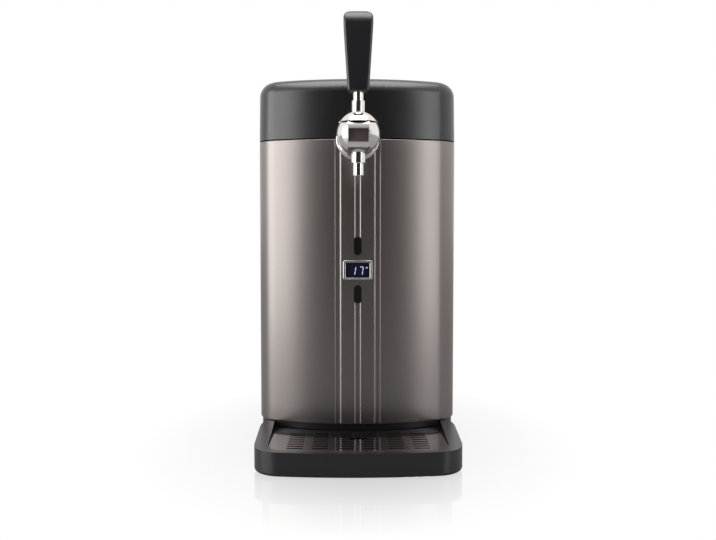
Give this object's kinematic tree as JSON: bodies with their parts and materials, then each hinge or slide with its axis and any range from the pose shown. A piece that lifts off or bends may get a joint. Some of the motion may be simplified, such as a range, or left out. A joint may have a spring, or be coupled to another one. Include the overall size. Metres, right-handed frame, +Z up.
{
  "type": "mini keg beer dispenser",
  "caption": "Upright counter-top cooler for a mini keg, with a lever tap, hinged lid, temperature display, push buttons and a pull-out drip tray.",
  "frame": {"origin": "centre of the bounding box's bottom, on the floor under the feet", "axes": "+Z up; +X to the right seen from the front; the tap and tray face -Y"},
  "size_m": [0.28, 0.45, 0.593],
  "materials": {
    "black_abs": "satin moulded ABS",
    "titanium_skin": "smooth satin metallic",
    "soft_grip": "soft-touch black",
    "tap_chrome": "polished",
    "grille_plastic": "glossy moulded",
    "foot_rubber": "matt",
    "seal_rubber": "matt silicone",
    "zinc_steel": "zinc plated",
    "chamber_aluminium": "satin drawn",
    "foam": "moulded polystyrene",
    "cast_aluminium": "extruded",
    "module_ceramic": "alumina",
    "inner_plastic": "moulded",
    "liner_plastic": "moulded",
    "supply_case": "galvanised",
    "circuit_board": "solder mask",
    "contact_brass": "plated",
    "bezel_chrome": "satin",
    "window_black": "smoked window",
    "plate_black": "gloss",
    "button_black": "satin"
  },
  "bodies": {
    "housing": {"base_plate": "black_abs", "rubber_feet": "foot_rubber", "outer_shell": "titanium_skin", "rear_panel": "black_abs", "rear_panel_screws": "zinc_steel", "top_deck": "black_abs", "cooling_chamber": "chamber_aluminium", "insulation_jacket": "foam", "temperature_sensor": "contact_brass", "cold_block": "cast_aluminium", "thermoelectric_module": "module_ceramic", "heat_sink": "cast_aluminium", "fan_frame": "inner_plastic", "fan_screws": "zinc_steel", "fan_duct": "inner_plastic", "power_supply": "supply_case", "control_board": "circuit_board", "mains_inlet": "inner_plastic", "inlet_contacts": "contact_brass", "switch_housing": "inner_plastic", "display_bezel": "bezel_chrome", "display_lens": "window_black", "display_module": "inner_plastic", "key_board": "circuit_board", "tap_flange": "tap_chrome", "tap_body": "tap_chrome", "tap_screw": "zinc_steel", "window_plate": "plate_black", "lever_pin": "zinc_steel", "spout": "tap_chrome", "tap_shank": "zinc_steel", "shank_nut": "zinc_steel", "hinge_pins": "zinc_steel"},
    "lid": {"lid_cover": "black_abs", "lid_liner": "liner_plastic", "lid_screws": "zinc_steel", "lid_insulation": "foam", "lid_seal": "seal_rubber"},
    "lever": {"tap_lever": "tap_chrome", "handle_stem": "tap_chrome", "handle_grip": "soft_grip"},
    "tray": {"drip_tray": "black_abs"},
    "grille": {"drip_grille": "grille_plastic"},
    "upper_key": {"upper_button": "button_black"},
    "lower_key": {"lower_button": "button_black"},
    "fan": {"fan_rotor": "inner_plastic"},
    "rocker": {"power_rocker": "inner_plastic"}
  },
  "joints": [
    {"name": "lid_hinge", "type": "hinge", "parent": "housing", "child": "lid", "pos_m": [0, 0.2195, 0.4375], "axis": [-1, 0, 0], "range_deg": [0, 90]},
    {"name": "tap_lever_pull", "type": "hinge", "parent": "housing", "child": "lever", "pos_m": [0, -0.172, 0.436], "axis": [1, 0, 0], "range_deg": [0, 35]},
    {"name": "drip_tray_slide", "type": "slide", "parent": "housing", "child": "tray", "axis": [0, -1, 0], "range_m": [0, 0.13]},
    {"name": "grille_lift", "type": "slide", "parent": "tray", "child": "grille", "axis": [0, 0, 1], "range_m": [0, 0.06]},
    {"name": "upper_button_press", "type": "slide", "parent": "housing", "child": "upper_key", "axis": [0, 1, 0], "range_m": [0, 0.0012], "stiffness_N_per_m": 900, "springref_m": -0.0006},
    {"name": "lower_button_press", "type": "slide", "parent": "housing", "child": "lower_key", "axis": [0, 1, 0], "range_m": [0, 0.0012], "stiffness_N_per_m": 900, "springref_m": -0.0006},
    {"name": "fan_spin", "type": "hinge", "parent": "housing", "child": "fan", "pos_m": [0, 0.1505, 0.3], "axis": [0, 1, 0], "continuous": true},
    {"name": "power_rocker_tilt", "type": "hinge", "parent": "housing", "child": "rocker", "pos_m": [-0.02, 0.2185, 0.08], "axis": [0, 0, 1], "range_deg": [-8, 8]}
  ]
}
